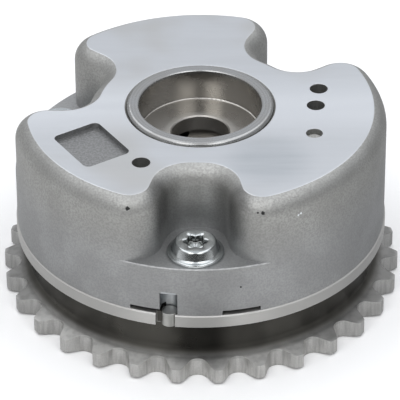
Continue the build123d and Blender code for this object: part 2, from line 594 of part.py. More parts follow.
def make_leaf_spring(azimuth, foot, crown, bottom, top):
    """A bowed strip: its ends stand at one radius and its crown reaches another."""
    middle = (bottom + top) / 2
    half = LEAF_LENGTH / 2
    step = LEAF_THICKNESS if crown > foot else -LEAF_THICKNESS
    bow = make_face([
        ThreePointArc(Vector(foot, 0, middle - half), Vector(crown - step, 0, middle),
                      Vector(foot, 0, middle + half)),
        Line(Vector(foot, 0, middle + half), Vector(foot + step, 0, middle + half)),
        ThreePointArc(Vector(foot + step, 0, middle + half), Vector(crown, 0, middle),
                      Vector(foot + step, 0, middle - half)),
        Line(Vector(foot + step, 0, middle - half), Vector(foot, 0, middle - half)),
    ])
    strip = extrude(bow, LEAF_WIDTH / 2, both=True)
    return Rot(0, 0, azimuth) * strip


def make_tip_seal(azimuth):
    outer = CHAMBER_RADIUS - SEAL_CLEARANCE
    return make_seal(azimuth, outer - SEAL_DEPTH, outer, ROTOR_REAR, VANE_TOP, outer, True)


def make_tip_seal_spring(azimuth):
    foot = VANE_RADIUS - SEAL_GROOVE_DEPTH + SEAL_CLEARANCE
    crown = CHAMBER_RADIUS - 2 * SEAL_CLEARANCE - SEAL_DEPTH
    return make_leaf_spring(azimuth, foot, crown, ROTOR_REAR, VANE_TOP)


def make_shoe_seal(azimuth):
    inner = HUB_RADIUS + SEAL_CLEARANCE
    return make_seal(azimuth, inner, inner + SEAL_DEPTH, JOINT_FACE + SEAL_CLEARANCE,
                     CHAMBER_TOP - SEAL_CLEARANCE, inner, False)


def make_shoe_seal_spring(azimuth):
    foot = SHOE_TIP_RADIUS + SEAL_GROOVE_DEPTH - SEAL_CLEARANCE
    crown = HUB_RADIUS + 2 * SEAL_CLEARANCE + SEAL_DEPTH
    return make_leaf_spring(azimuth, foot, crown, JOINT_FACE, CHAMBER_TOP)


def make_lock_pin():
    """A stepped cup: its nose locks into the bush, and the spring sits in its bore."""
    outer = LOCK_BORE_RADIUS - RUNNING_CLEARANCE
    cavity = outer - LOCK_WALL
    nose_tip = LOCK_NOSE_RADIUS - LOCK_BUSH_CLEARANCE
    taper_top = LOCK_NOSE_TIP + 2 * LOCK_BUSH_CLEARANCE
    pin = turned_polygon([
        (0, LOCK_NOSE_TIP), (nose_tip, LOCK_NOSE_TIP), (LOCK_NOSE_RADIUS, taper_top),
        (LOCK_NOSE_RADIUS, LOCK_SHOULDER), (outer, LOCK_SHOULDER), (outer, LOCK_PIN_TOP),
        (cavity, LOCK_PIN_TOP), (cavity, LOCK_CAVITY_FLOOR), (0, LOCK_CAVITY_FLOOR),
    ])
    place = polar(LOCK_CIRCLE_RADIUS, LOCK_AZIMUTH)
    return Pos(place.X, place.Y, 0) * pin


def make_lock_spring():
    """The compression spring between the pin's cup and the cap."""
    mean = LOCK_BORE_RADIUS - RUNNING_CLEARANCE - LOCK_WALL - SPRING_WALL_GAP - SPRING_WIRE_RADIUS
    bottom = LOCK_CAVITY_FLOOR + SPRING_WIRE_RADIUS + SEAL_CLEARANCE
    height = LOCK_CAP_BOTTOM - SPRING_WIRE_RADIUS - SEAL_CLEARANCE - bottom
    path = Helix(height / SPRING_TURNS, height, mean)
    section = Plane(origin=path @ 0, z_dir=path % 0) * Circle(SPRING_WIRE_RADIUS)
    coil = sweep(section, path=path, is_frenet=True)
    place = polar(LOCK_CIRCLE_RADIUS, LOCK_AZIMUTH, bottom)
    return Pos(place.X, place.Y, place.Z) * coil


def make_lock_spring_seat():
    place = polar(LOCK_CIRCLE_RADIUS, LOCK_AZIMUTH)
    cap = disc(LOCK_BORE_RADIUS - PRESS_CLEARANCE, LOCK_CAP_BOTTOM, VANE_TOP, place)
    return cap - disc(LOCK_VENT_RADIUS, LOCK_CAP_BOTTOM - CUT_MARGIN, VANE_TOP + CUT_MARGIN, place)


def make_lock_bush():
    place = polar(LOCK_CIRCLE_RADIUS, RETARD_LOCK_AZIMUTH)
    bottom = JOINT_FACE - LOCK_BUSH_DEPTH
    bush = disc(LOCK_BUSH_RADIUS, bottom, JOINT_FACE, place)
    return bush - disc(LOCK_BUSH_INNER, bottom - CUT_MARGIN, JOINT_FACE + CUT_MARGIN, place)


def make_nodes():
    nodes = {
        "sprocket": make_sprocket(),
        "housing": make_housing(),
        "locating_pin": make_locating_pin(),
        "rotor": make_rotor(),
        "lock_pin": make_lock_pin(),
        "lock_spring": make_lock_spring(),
        "lock_spring_seat": make_lock_spring_seat(),
        "lock_bush": make_lock_bush(),
    }
    for name, (azimuth, _, bolt_azimuth) in VALLEYS.items():
        nodes["housing_bolt_" + name] = make_bolt(bolt_azimuth)
        nodes["shoe_seal_" + name] = make_shoe_seal(azimuth)
        nodes["shoe_seal_spring_" + name] = make_shoe_seal_spring(azimuth)
    for name, azimuth in VANE_CENTRES.items():
        nodes["tip_seal_" + name] = make_tip_seal(azimuth)
        nodes["tip_seal_spring_" + name] = make_tip_seal_spring(azimuth)
    return nodes


def main():
    os.makedirs("parts", exist_ok=True)
    for name, solid in make_nodes().items():
        export_step(solid, "parts/" + name + ".step")


main()
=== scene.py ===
"""Finishes, bolts, lock spring and studio for a hydraulic cam phaser.

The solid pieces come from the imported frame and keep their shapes. This file gives each of them its
metal, replaces the three housing bolts by turned and threaded ones and the lock pin's spring by a
wound coil, and sets up the camera, the lamps and the floor. Lengths are in metres, +Z runs along
the camshaft's axis to the front.
"""

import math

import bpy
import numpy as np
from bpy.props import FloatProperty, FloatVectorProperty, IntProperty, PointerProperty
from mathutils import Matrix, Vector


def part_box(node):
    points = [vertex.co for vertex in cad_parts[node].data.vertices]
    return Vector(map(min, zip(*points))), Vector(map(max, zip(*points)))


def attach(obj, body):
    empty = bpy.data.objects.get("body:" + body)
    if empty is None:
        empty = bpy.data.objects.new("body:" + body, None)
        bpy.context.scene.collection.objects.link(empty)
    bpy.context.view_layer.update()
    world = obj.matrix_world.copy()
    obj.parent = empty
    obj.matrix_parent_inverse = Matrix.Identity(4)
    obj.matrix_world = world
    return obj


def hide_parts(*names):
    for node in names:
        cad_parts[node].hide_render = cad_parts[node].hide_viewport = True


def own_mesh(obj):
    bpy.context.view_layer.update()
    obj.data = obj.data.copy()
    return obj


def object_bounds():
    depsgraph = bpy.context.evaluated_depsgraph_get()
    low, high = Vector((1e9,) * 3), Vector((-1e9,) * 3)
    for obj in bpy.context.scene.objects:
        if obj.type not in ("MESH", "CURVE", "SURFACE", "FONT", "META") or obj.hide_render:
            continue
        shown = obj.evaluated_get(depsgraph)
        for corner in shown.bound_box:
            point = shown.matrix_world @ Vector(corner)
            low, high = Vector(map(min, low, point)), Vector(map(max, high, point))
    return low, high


bl_info = {
    "name": "Cam Phaser Studio",
    "version": (1, 0, 0),
    "blender": (4, 5, 0),
    "location": "View3D > Sidebar > Cam Phaser",
    "description": "Metals, threaded bolts, a wound lock spring and a studio for a cam phaser",
    "category": "Add Mesh",
}

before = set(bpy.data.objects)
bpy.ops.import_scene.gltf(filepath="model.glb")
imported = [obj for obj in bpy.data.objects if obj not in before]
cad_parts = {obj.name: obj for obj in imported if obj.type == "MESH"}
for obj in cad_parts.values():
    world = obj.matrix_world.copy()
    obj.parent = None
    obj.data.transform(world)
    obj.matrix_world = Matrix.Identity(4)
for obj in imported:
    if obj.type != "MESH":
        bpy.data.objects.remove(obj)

MM = 0.001
BLACK = (0.0, 0.0, 0.0)
HOUSING_BODY = "housing_assembly"
ROTOR_BODY = "rotor_assembly"

# Heights and radii that the finishes follow
FLOOR_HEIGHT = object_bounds()[0].z
WEB_FACE = 4.1 * MM  # just under the web's front and the flat of the teeth
WHEEL_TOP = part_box("sprocket")[1].z
FLANGE_FOOT = WHEEL_TOP - 3.0 * MM
SLOT_TOP = WHEEL_TOP + 2.2 * MM  # over the relief slots beside the valleys
MILLED_TOP = WHEEL_TOP + 6.1 * MM  # over the round pocket of the locating pin
FACE_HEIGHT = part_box("housing")[1].z
POCKET_FLOOR = FACE_HEIGHT - 1.55 * MM  # just under the floor of the face's shallow pocket
NOSE_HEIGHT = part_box("rotor")[1].z
SKIRT_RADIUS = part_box("housing")[1].x
SLOT_REACH = SKIRT_RADIUS - 0.6 * MM  # the relief slots' walls lie inside this radius
NECK_CORE, NECK_EDGE = 41.3 * MM, 43.9 * MM  # where the neck's dark scale starts to fade and ends
RIM_CORE = 43.05 * MM  # the flange's turned rim lies outside this radius
HOLE_CORE, HOLE_EDGE = 7.0 * MM, 9.0 * MM  # between the centre hole and the counterbore's wall
BOLT_HEAD_HEIGHT = 3.15 * MM
SEAT_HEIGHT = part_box("housing_bolt_front")[1].z - BOLT_HEAD_HEIGHT  # where the flanges lie
SHANK_RADIUS = 3.0 * MM

# Points round a bolt and along a pitch of its thread, round the spring's wire and along a winding
BOLT_COLUMNS, ROWS_PER_PITCH = 96, 10
WIRE_COLUMNS, ROWS_PER_WINDING = 12, 28

# Places across the axis, as x and y, and the radii round some of them
CENTRE = (0.0, 0.0)
PIN_PLACE = (sum(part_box("locating_pin"), Vector()) / 2).xy
MILLED_RADIUS = 2.2 * MM  # round the pocket over the locating pin
NOTCH_RADIUS = 3.0 * MM  # round the flange's notch beside the locating pin
POCKET_PLACE = (-24.9 * MM, -16.15 * MM)  # middle of the shallow pocket in the ground face
POCKET_RADIUS = 9.8 * MM
VALLEY_CORNERS = [(-8.8 * MM, -33.3 * MM), (8.0 * MM, -36.4 * MM)]  # painted shade in the front valley's inner corners
DARK_PATCH_PLACE = (15.5 * MM, -23.0 * MM)  # middle of a darker patch on the ground face
PALEST_WEB_PLACE = (-10.0 * MM, -45.0 * MM)  # where the web is palest; painted shade darkens it further away
DARK_REFLECTION_PLACE = (0.0, -41.5 * MM)  # middle of a painted dark reflection at the front of the neck

GRINDING_TURN = math.radians(-32.0)  # direction of the grinding marks
# Small casting pits and bright nicks on the housing: middle in millimetres, and radius
PITS = [((-16.4, -39.0, 43.7), 0.50), ((13.9, -40.3, 43.2), 0.42), ((12.7, -40.3, 43.3), 0.25),
        ((9.0, -42.5, 24.5), 0.24)]
NICKS = [((21.9, -37.5, 40.7), 0.28), ((22.5, -37.2, 40.9), 0.30)]


def colour_property(name, description, value):
    return FloatVectorProperty(name=name, description=description, subtype="COLOR", size=3,
                               min=0.0, max=1.0, default=value)


def length_property(name, description, value):
    return FloatProperty(name=name, description=description, unit="LENGTH", precision=5,
                         min=0.0, default=value)


class CamPhaserMetals(bpy.types.PropertyGroup):
    """Colours and grain of the metals."""

    ground: colour_property("Ground face", "Freshly ground aluminium of the front face",
                            (0.625, 0.645, 0.67))
    cast: colour_property("Cast skin", "Blasted cast skin of the housing",
                          (0.405, 0.41, 0.415))
    cast_shade: colour_property("Cast shade", "Darker patches in the cast skin",
                                (0.315, 0.318, 0.32))
    milled: colour_property("Milled pocket", "Round pocket over the locating pin",
                            (0.50, 0.52, 0.54))
    sinter: colour_property("Sintered steel", "Teeth of the chain wheel", (0.74, 0.735, 0.72))
    raw_sinter: colour_property("Raw sinter", "Steam-treated neck that was never machined",
                                (0.082, 0.079, 0.071))
    web: colour_property("Web", "Front of the web and the teeth, as pressed", (0.71, 0.705, 0.685))
    turned_rim: colour_property("Turned rim", "Turned rim of the flange", (0.56, 0.555, 0.54))
    machined: colour_property("Machined steel", "Rotor nose and counterbore",
                              (0.42, 0.405, 0.38))
    zinc: colour_property("Zinc plating", "Housing bolts", (0.54, 0.565, 0.57))
    recess: colour_property("Recess", "Thin plating and oil in the bolts' recesses",
                            (0.26, 0.27, 0.265))
    hardened: colour_property("Hardened steel", "Lock pin and bush", (0.42, 0.42, 0.43))
    dull: colour_property("Dull steel", "Locating pin", (0.52, 0.52, 0.50))
    spring: colour_property("Spring steel", "Coil spring and leaf springs", (0.36, 0.37, 0.39))
    seal: colour_property("Seal", "Moulded seal bars", (0.030, 0.027, 0.025))
    cast_grain: length_property("Cast grain", "Size of the cast skin's grain", 0.45 * MM)
    grain_height: length_property("Grain height", "Height of the cast skin's grain", 0.05 * MM)
    turning_feed: length_property("Turning feed", "Spacing of the turned lines", 0.16 * MM)
    edge_round: length_property("Edge round", "Radius of the broken edges", 0.08 * MM)


class CamPhaserBolt(bpy.types.PropertyGroup):
    """Sizes of a housing bolt that the solids leave plain."""

    pitch: length_property("Thread pitch", "Pitch of the thread", 1.0 * MM)
    depth: length_property("Thread depth", "Depth of the thread", 0.55 * MM)
    plain: length_property("Plain shank", "Shank under the head without a thread", 3.0 * MM)
    flange: length_property("Flange thickness", "Thickness of the flange at its rim", 0.75 * MM)
    foot: length_property("Head foot radius", "Radius of the head where it meets the flange",
                          5.45 * MM)
    crown: length_property("Head crown radius", "Radius of the head at its top", 4.75 * MM)
    recess: length_property("Recess depth", "Depth of the six-lobe recess", 1.9 * MM)
    recess_mean: length_property("Recess radius", "Mean radius of the six-lobe recess", 2.42 * MM)
    recess_swing: length_property("Recess lobe", "Height of a lobe over the mean radius",
                                  0.34 * MM)
    lobes: IntProperty(name="Recess lobes", description="Number of lobes of the recess", default=6,
                       min=3)


class CamPhaserSpring(bpy.types.PropertyGroup):
    """Sizes of the lock pin's spring."""

    wire: length_property("Wire radius", "Radius of the spring's wire", 0.4 * MM)
    turns: FloatProperty(name="Windings", description="Number of windings", default=6.5, min=2.0)


class CamPhaserStudio(bpy.types.PropertyGroup):
    """Camera and lamps."""

    camera_place: FloatVectorProperty(name="Camera place", description="Where the camera stands",
                                      subtype="TRANSLATION", unit="LENGTH", size=3,
                                      default=(-0.00017, -0.66797, 0.47723))
    camera_aim: FloatVectorProperty(name="Camera aim", description="Point at the frame's centre",
                                    subtype="TRANSLATION", unit="LENGTH", size=3,
                                    default=(-0.000173, 0.0, 0.01925))
    camera_roll: FloatProperty(name="Camera roll", description="Turn about the line of sight",
                               subtype="ANGLE", default=math.radians(0.35))
    lens: FloatProperty(name="Lens", description="Focal length", subtype="DISTANCE_CAMERA",
                        default=307.5)
    lamp_power: FloatProperty(name="Lamp power", description="Power of each soft lamp overhead",
                              unit="POWER", default=1.8)
    front_power: FloatProperty(name="Front lamp power", description="Power of each lamp in front",
                               unit="POWER", default=1.3)
    front_balance: FloatProperty(name="Front balance", min=-1.0, max=1.0, default=0.12,
                                 description="Share by which the left lamp in front is brighter")
    front_turn: FloatProperty(name="Front lamp turn", subtype="ANGLE", default=math.radians(25.0),
                              description="Angle of each front lamp from the camera's direction")
    front_rise: FloatProperty(name="Front lamp rise", subtype="ANGLE", default=math.radians(38.0),
                              description="Angle of each front lamp above the floor")
    front_distance: length_property("Front lamp distance", "Distance of the front lamps", 0.9)
    front_width: length_property("Front lamp width", "Width of each front lamp", 0.36)
    front_height: length_property("Front lamp height", "Height of each front lamp", 0.7)
    lamp_height: length_property("Lamp height", "Height of the two soft lamps", 0.62)
    lamp_gap: length_property("Lamp gap", "Gap between the two soft lamps", 0.16)
    lamp_width: length_property("Lamp width", "Width of each soft lamp", 0.42)
    lamp_length: length_property("Lamp length", "Length of each soft lamp", 1.3)
    backdrop: colour_property("Backdrop", "Colour of the floor and of the room", (1.0, 1.0, 1.0))
    room: colour_property("Room", "What the metal mirrors at the sides and the back",
                          (0.78, 0.80, 0.84))
    horizon: colour_property("Horizon", "What the metal mirrors low at the sides and the back",
                             (0.50, 0.50, 0.50))
    left_side: colour_property("Left side", "What the metal mirrors on the left",
                               (0.60, 0.60, 0.61))
    dark_side: colour_property("Dark side", "What the metal mirrors on the camera's side",
                               (0.03, 0.03, 0.03))
    table: colour_property("Table", "What the metal mirrors of the floor", (0.84, 0.835, 0.82))
    table_back: colour_property("Table behind", "What the metal mirrors of the floor behind it",
                                (0.42, 0.42, 0.42))
    table_shade: colour_property("Table shade", "The camera's shade on the floor in front",
                                 (0.04, 0.04, 0.04))


def settings():
    """The metals' colours and grain."""
    return bpy.context.scene.cam_phaser_metals


def shade(colour, share):
    """A colour times one share, or times a share for each channel."""
    shares = share if isinstance(share, tuple) else (share,) * len(colour)
    return [each * channel for each, channel in zip(shares, colour)]


def new_nodes(name):
    """A material with a Principled shader wired to its output, and nothing else."""
    material = bpy.data.materials.new(name)
    material.use_nodes = True
    tree = material.node_tree
    tree.nodes.clear()
    output = tree.nodes.new("ShaderNodeOutputMaterial")
    shader = tree.nodes.new("ShaderNodeBsdfPrincipled")
    tree.links.new(shader.outputs["BSDF"], output.inputs["Surface"])
    return material, tree, shader


def put(tree, socket, value):
    """Links a socket to another node's output, or sets its number."""
    if isinstance(value, bpy.types.NodeSocket):
        tree.links.new(value, socket)
    elif isinstance(socket.default_value, (int, float)):
        socket.default_value = value
    else:
        values = tuple(value)
        socket.default_value = values + (1.0,) * (len(socket.default_value) - len(values))


def set_surface(tree, shader, colour, roughness, normal, metallic=1.0):
    """Wires what a material has worked out to its shader."""
    put(tree, shader.inputs["Base Color"], colour)
    put(tree, shader.inputs["Metallic"], metallic)
    put(tree, shader.inputs["Roughness"], roughness)
    put(tree, shader.inputs["Normal"], normal)


def math_node(tree, operation, first, second=0.0):
    node = tree.nodes.new("ShaderNodeMath")
    node.operation = operation
    put(tree, node.inputs[0], first)
    put(tree, node.inputs[1], second)
    return node.outputs[0]


def product(tree, first, *factors):
    """A value times each of the factors in turn."""
    for factor in factors:
        first = math_node(tree, "MULTIPLY", first, factor)
    return first


def opposite(tree, share):
    """1 less a share."""
    return math_node(tree, "SUBTRACT", 1.0, share)


def ramp(tree, value, low, high, out_low=0.0, out_high=1.0):
    """A smooth step of a value between two limits."""
    node = tree.nodes.new("ShaderNodeMapRange")
    node.interpolation_type = "SMOOTHSTEP"
    for socket, number in zip(node.inputs[:5], (value, low, high, out_low, out_high)):
        put(tree, socket, number)
    return node.outputs[0]


def fall(tree, value, low, high, strength=1.0):
    """A smooth step down, from the strength at the lower limit to 0 at the upper one."""
    return ramp(tree, value, low, high, strength, 0.0)


def over(tree, value, limit, blur):
    """1 over a limit and 0 under it, with a blur to each side."""
    return ramp(tree, value, limit - blur, limit + blur)


def under(tree, value, limit, blur):
    """1 under a limit and 0 over it, with a blur to each side."""
    return fall(tree, value, limit - blur, limit + blur)


def within(tree, place, middle, radius, blur):
    """1 within a radius of an upright line and 0 further out, with a blur to each side."""
    return under(tree, distance_from_axis(tree, place, middle), radius, blur)


def near(tree, place, middle, core, edge, strength=1.0):
    """The strength within core of an upright line, which fades to 0 at edge."""
    return fall(tree, distance_from_axis(tree, place, middle), core, edge, strength)


def mix_colour(tree, share, first, second, blend="MIX"):
    node = tree.nodes.new("ShaderNodeMix")
    node.data_type = "RGBA"
    node.blend_type = blend
    put(tree, node.inputs["Factor"], share)
    put(tree, node.inputs["A"], first)
    put(tree, node.inputs["B"], second)
    return node.outputs["Result"]


def mix_value(tree, share, first, second):
    node = tree.nodes.new("ShaderNodeMix")
    put(tree, node.inputs["Factor"], share)
    put(tree, node.inputs["A"], first)
    put(tree, node.inputs["B"], second)
    return node.outputs["Result"]


def parts(tree, vector):
    """The X, Y and Z of a vector."""
    split = tree.nodes.new("ShaderNodeSeparateXYZ")
    tree.links.new(vector, split.inputs[0])
    return split.outputs


def object_position(tree):
    """The position on the piece, and its height along the camshaft's axis."""
    place = tree.nodes.new("ShaderNodeTexCoord").outputs["Object"]
    return place, parts(tree, place)["Z"]


def distance_from_axis(tree, place, middle=CENTRE):
    """The distance from an upright line through a place."""
    offset = tree.nodes.new("ShaderNodeVectorMath")
    offset.operation = "SUBTRACT"
    offset.inputs[1].default_value = (*middle, 0.0)
    flat = tree.nodes.new("ShaderNodeVectorMath")
    flat.operation = "MULTIPLY"
    flat.inputs[1].default_value = (1.0, 1.0, 0.0)
    length = tree.nodes.new("ShaderNodeVectorMath")
    length.operation = "LENGTH"
    tree.links.new(place, offset.inputs[0])
    tree.links.new(offset.outputs[0], flat.inputs[0])
    tree.links.new(flat.outputs[0], length.inputs[0])
    return length.outputs["Value"]


def noise(tree, place, size, detail=3.0, stretch=(1.0, 1.0, 1.0), turn=0.0):
    """Fractal noise whose features are about size wide, stretched along turned axes."""
    mapping = tree.nodes.new("ShaderNodeMapping")
    mapping.inputs["Rotation"].default_value = (0.0, 0.0, turn)
    mapping.inputs["Scale"].default_value = stretch
    tree.links.new(place, mapping.inputs["Vector"])
    node = tree.nodes.new("ShaderNodeTexNoise")
    node.inputs["Scale"].default_value = 1.0 / size
    node.inputs["Detail"].default_value = detail
    tree.links.new(mapping.outputs[0], node.inputs["Vector"])
    return node.outputs["Fac"]


def rounded_normal(tree, radius):
    """The normal with every sharp edge rounded by the same small radius."""
    node = tree.nodes.new("ShaderNodeBevel")
    node.samples = 6
    node.inputs["Radius"].default_value = radius
    return node.outputs[0]


def upright(tree):
    """1 on upright walls and 0 on level faces."""
    normal = tree.nodes.new("ShaderNodeNewGeometry").outputs["True Normal"]
    return fall(tree, math_node(tree, "ABSOLUTE", parts(tree, normal)["Z"]), 0.25, 0.5)


def turned_gloss(tree, shader, share):
    """Spreads the gloss of turned walls up and down, across the marks of the tool."""
    axis = tree.nodes.new("ShaderNodeCombineXYZ")
    axis.inputs["Z"].default_value = 1.0
    tree.links.new(axis.outputs[0], shader.inputs["Tangent"])
    put(tree, shader.inputs["Anisotropic"], share)


def bump(tree, height, distance, normal, strength=1.0):
    node = tree.nodes.new("ShaderNodeBump")
    node.inputs["Strength"].default_value = strength
    node.inputs["Distance"].default_value = distance
    tree.links.new(height, node.inputs["Height"])
    tree.links.new(normal, node.inputs["Normal"])
    return node.outputs[0]


def spots(tree, place, marks):
    """1 inside small marks with uneven edges, and 0 elsewhere."""
    edge = product(tree, noise(tree, place, 0.5 * MM), 1.6)
    inside = 0.0
    for middle, radius in marks:
        away = tree.nodes.new("ShaderNodeVectorMath")
        away.operation = "DISTANCE"
        tree.links.new(place, away.inputs[0])
        away.inputs[1].default_value = [MM * number for number in middle]
        reach = math_node(tree, "DIVIDE", away.outputs["Value"], radius * MM)
        mark = fall(tree, math_node(tree, "ADD", reach, edge), 1.5, 1.9)
        inside = math_node(tree, "MAXIMUM", inside, mark)
    return inside


def cast_skin(tree, place, z, high, speckle):
    """The blasted skin: soft patches, a grain that is stronger higher up, a painted highlight that
    makes it warmer and paler higher up, and painted shade in the valley's corners.
    """
    metals = settings()
    patches = ramp(tree, noise(tree, place, 9.0 * MM, detail=4.0), 0.35, 0.65, 0.0, 0.55)
    skin = mix_colour(tree, patches, metals.cast, metals.cast_shade)
    grain = product(tree, ramp(tree, speckle, 0.38, 0.62), ramp(tree, high, 0.0, 1.0, 0.35, 0.75))
    skin = mix_colour(tree, grain, skin, metals.cast_shade)
    # Painted highlight: the skin grows warmer and paler towards the top
    skin = mix_colour(tree, high, skin, (1.07, 1.06, 1.02), "MULTIPLY")
    upper = ramp(tree, z, FACE_HEIGHT - 14.0 * MM, FACE_HEIGHT - 9.0 * MM)
    # Painted shade: the skin is darkened round the front valley's inner corners, high up
    for corner in VALLEY_CORNERS:
        corner_shade = product(tree, near(tree, place, corner, 1.5 * MM, 5.5 * MM, 0.42), upper)
        skin = mix_colour(tree, corner_shade, skin, BLACK)
    return skin


def ground_sheen(tree, place, streaks):
    """The ground face: streaks, warm clouds, a painted highlight across its middle and a darker
    patch.
    """
    ground = settings().ground
    marks = ramp(tree, streaks, 0.40, 0.70, 0.0, 0.45)
    sheen = mix_colour(tree, marks, ground, shade(ground, 0.84))
    clouds = ramp(tree, noise(tree, place, 26.0 * MM, detail=2.0), 0.46, 0.66, 0.0, 0.65)
    sheen = mix_colour(tree, clouds, sheen, shade(ground, (0.84, 0.81, 0.76)))
    # Painted highlight: a band across the face's middle is painted brighter
    off_middle = math_node(tree, "ABSOLUTE", parts(tree, place)["Y"])
    band = fall(tree, off_middle, 2.0 * MM, 16.0 * MM, 0.9)
    sheen = mix_colour(tree, band, sheen, shade(ground, 1.15))
    # A darker, streaky patch on the face
    dark_patch = product(tree, near(tree, place, DARK_PATCH_PLACE, 4.0 * MM, 13.0 * MM),
                    ramp(tree, streaks, 0.30, 0.60, 0.45, 1.0))
    return mix_colour(tree, dark_patch, sheen, shade(ground, (0.78, 0.80, 0.81)))


def face_pocket(tree, place, z, skin):
    """The skin with the mottled shallow pocket in the ground face."""
    dark = settings().cast_shade
    mottle = ramp(tree, noise(tree, place, 0.55 * MM, detail=5.0), 0.38, 0.62)
    pocket = mix_colour(tree, mottle, shade(dark, 0.76), shade(dark, 0.97))
    inside = product(tree, over(tree, z, POCKET_FLOOR, 0.05 * MM),
                     within(tree, place, POCKET_PLACE, POCKET_RADIUS, 0.2 * MM))
    return mix_colour(tree, inside, skin, pocket)


def cast_aluminium():
    """Blasted cast skin below, and a ground flat face at the housing's full height."""
    metals = settings()
    material, tree, shader = new_nodes("cast_and_ground_aluminium")
    place, z = object_position(tree)
    ground = over(tree, z, FACE_HEIGHT - 0.055 * MM, 0.025 * MM)
    high = ramp(tree, z, FACE_HEIGHT - 20.0 * MM, FACE_HEIGHT - 4.0 * MM)
    speckle = noise(tree, place, metals.cast_grain, detail=5.0)
    streaks = noise(tree, place, 5.0 * MM, 3.0, (0.12, 1.0, 1.0), GRINDING_TURN)
    milled = product(tree, within(tree, place, PIN_PLACE, MILLED_RADIUS, 0.05 * MM),
                     under(tree, z, MILLED_TOP, 0.05 * MM))
    slots = product(tree, within(tree, place, CENTRE, SLOT_REACH, 0.3 * MM),
                    under(tree, z, SLOT_TOP, 0.2 * MM), opposite(tree, milled))
    pits, nicks = spots(tree, place, PITS), spots(tree, place, NICKS)
    skin = face_pocket(tree, place, z, cast_skin(tree, place, z, high, speckle))
    skin = mix_colour(tree, milled, skin, metals.milled)
    # Painted shade: the relief slots and the housing under them are painted near black
    skin = mix_colour(tree, slots, skin, shade(metals.cast_shade, 0.12))
    skin = mix_colour(tree, pits, skin, shade(metals.cast_shade, 0.15))
    skin = mix_colour(tree, nicks, skin, shade(metals.ground, 1.35))
    colour = mix_colour(tree, ground, skin, ground_sheen(tree, place, streaks))
    skin_roughness = math_node(tree, "SUBTRACT", ramp(tree, speckle, 0.3, 0.7, 0.44, 0.58),
                               product(tree, milled, 0.10))
    face_roughness = ramp(tree, streaks, 0.3, 0.7, 0.30, 0.38)
    roughness = mix_value(tree, ground, skin_roughness, face_roughness)
    lay = noise(tree, place, 0.35 * MM, 2.0, (0.04, 1.0, 1.0), GRINDING_TURN)
    rough = product(tree, speckle, ramp(tree, high, 0.0, 1.0, 1.0, 2.4))
    rough = math_node(tree, "SUBTRACT", rough, product(tree, pits, 4.0))
    rough = product(tree, rough, opposite(tree, ground))
    height = math_node(tree, "ADD", rough, product(tree, lay, 0.02, ground))
    normal = bump(tree, height, metals.grain_height, rounded_normal(tree, metals.edge_round), 0.8)
    set_surface(tree, shader, colour, roughness, normal)
    return material


def turned_lines(tree, length, feed):
    """A fine wave along a length, as a lathe tool leaves it: (1 + sin(2 pi length / feed)) / 2."""
    wave = math_node(tree, "SINE", product(tree, length, 2 * math.pi / feed))
    return product(tree, math_node(tree, "ADD", wave, 1.0), 0.5)


def pressed_teeth(tree, place, patches, pores):
    """The teeth and the rims: patches, upright streaks from the press, and dark pores."""
    sinter = settings().sinter
    pressed = noise(tree, place, 0.7 * MM, 4.0, (1.0, 1.0, 0.10))
    tone = mix_colour(tree, ramp(tree, patches, 0.35, 0.7, 0.0, 0.35), sinter, shade(sinter, 0.80))
    tone = mix_colour(tree, ramp(tree, pressed, 0.42, 0.66, 0.0, 0.55), tone, shade(sinter, 0.62))
    return mix_colour(tree, fall(tree, pores, 0.42, 0.62, 0.30), tone, shade(sinter, 0.62))


def pressed_web(tree, place, stains):
    """The web and the flat of the teeth: stained, with painted shade that darkens them away from
    where the web is palest.
    """
    web = settings().web
    tone = mix_colour(tree, ramp(tree, stains, 0.40, 0.68, 0.0, 0.6), web, shade(web, 0.70))
    # Painted shade: the web darkens away from the front
    away = distance_from_axis(tree, place, PALEST_WEB_PLACE)
    return mix_colour(tree, ramp(tree, away, 26.0 * MM, 46.0 * MM, 0.0, 0.58), tone, BLACK)


def neck_scale(tree, place):
    """The dark scale of the neck, in wide uneven patches."""
    raw = settings().raw_sinter
    patches = noise(tree, place, 11.0 * MM, detail=2.0)
    return mix_colour(tree, ramp(tree, patches, 0.36, 0.64), shade(raw, 1.08), shade(raw, 0.74))


def dark_reflection(tree, place, radius, flange, wall):
    """A painted dark reflection at the front of the neck, which leaves out the flange and the
    teeth's walls.
    """
    reflection_mask = near(tree, place, DARK_REFLECTION_PLACE, 2.5 * MM, 8.0 * MM, 0.45)
    teeth = product(tree, wall, over(tree, radius, 42.0 * MM, 0.5 * MM))
    return product(tree, reflection_mask, math_node(tree, "SUBTRACT", opposite(tree, flange), teeth))


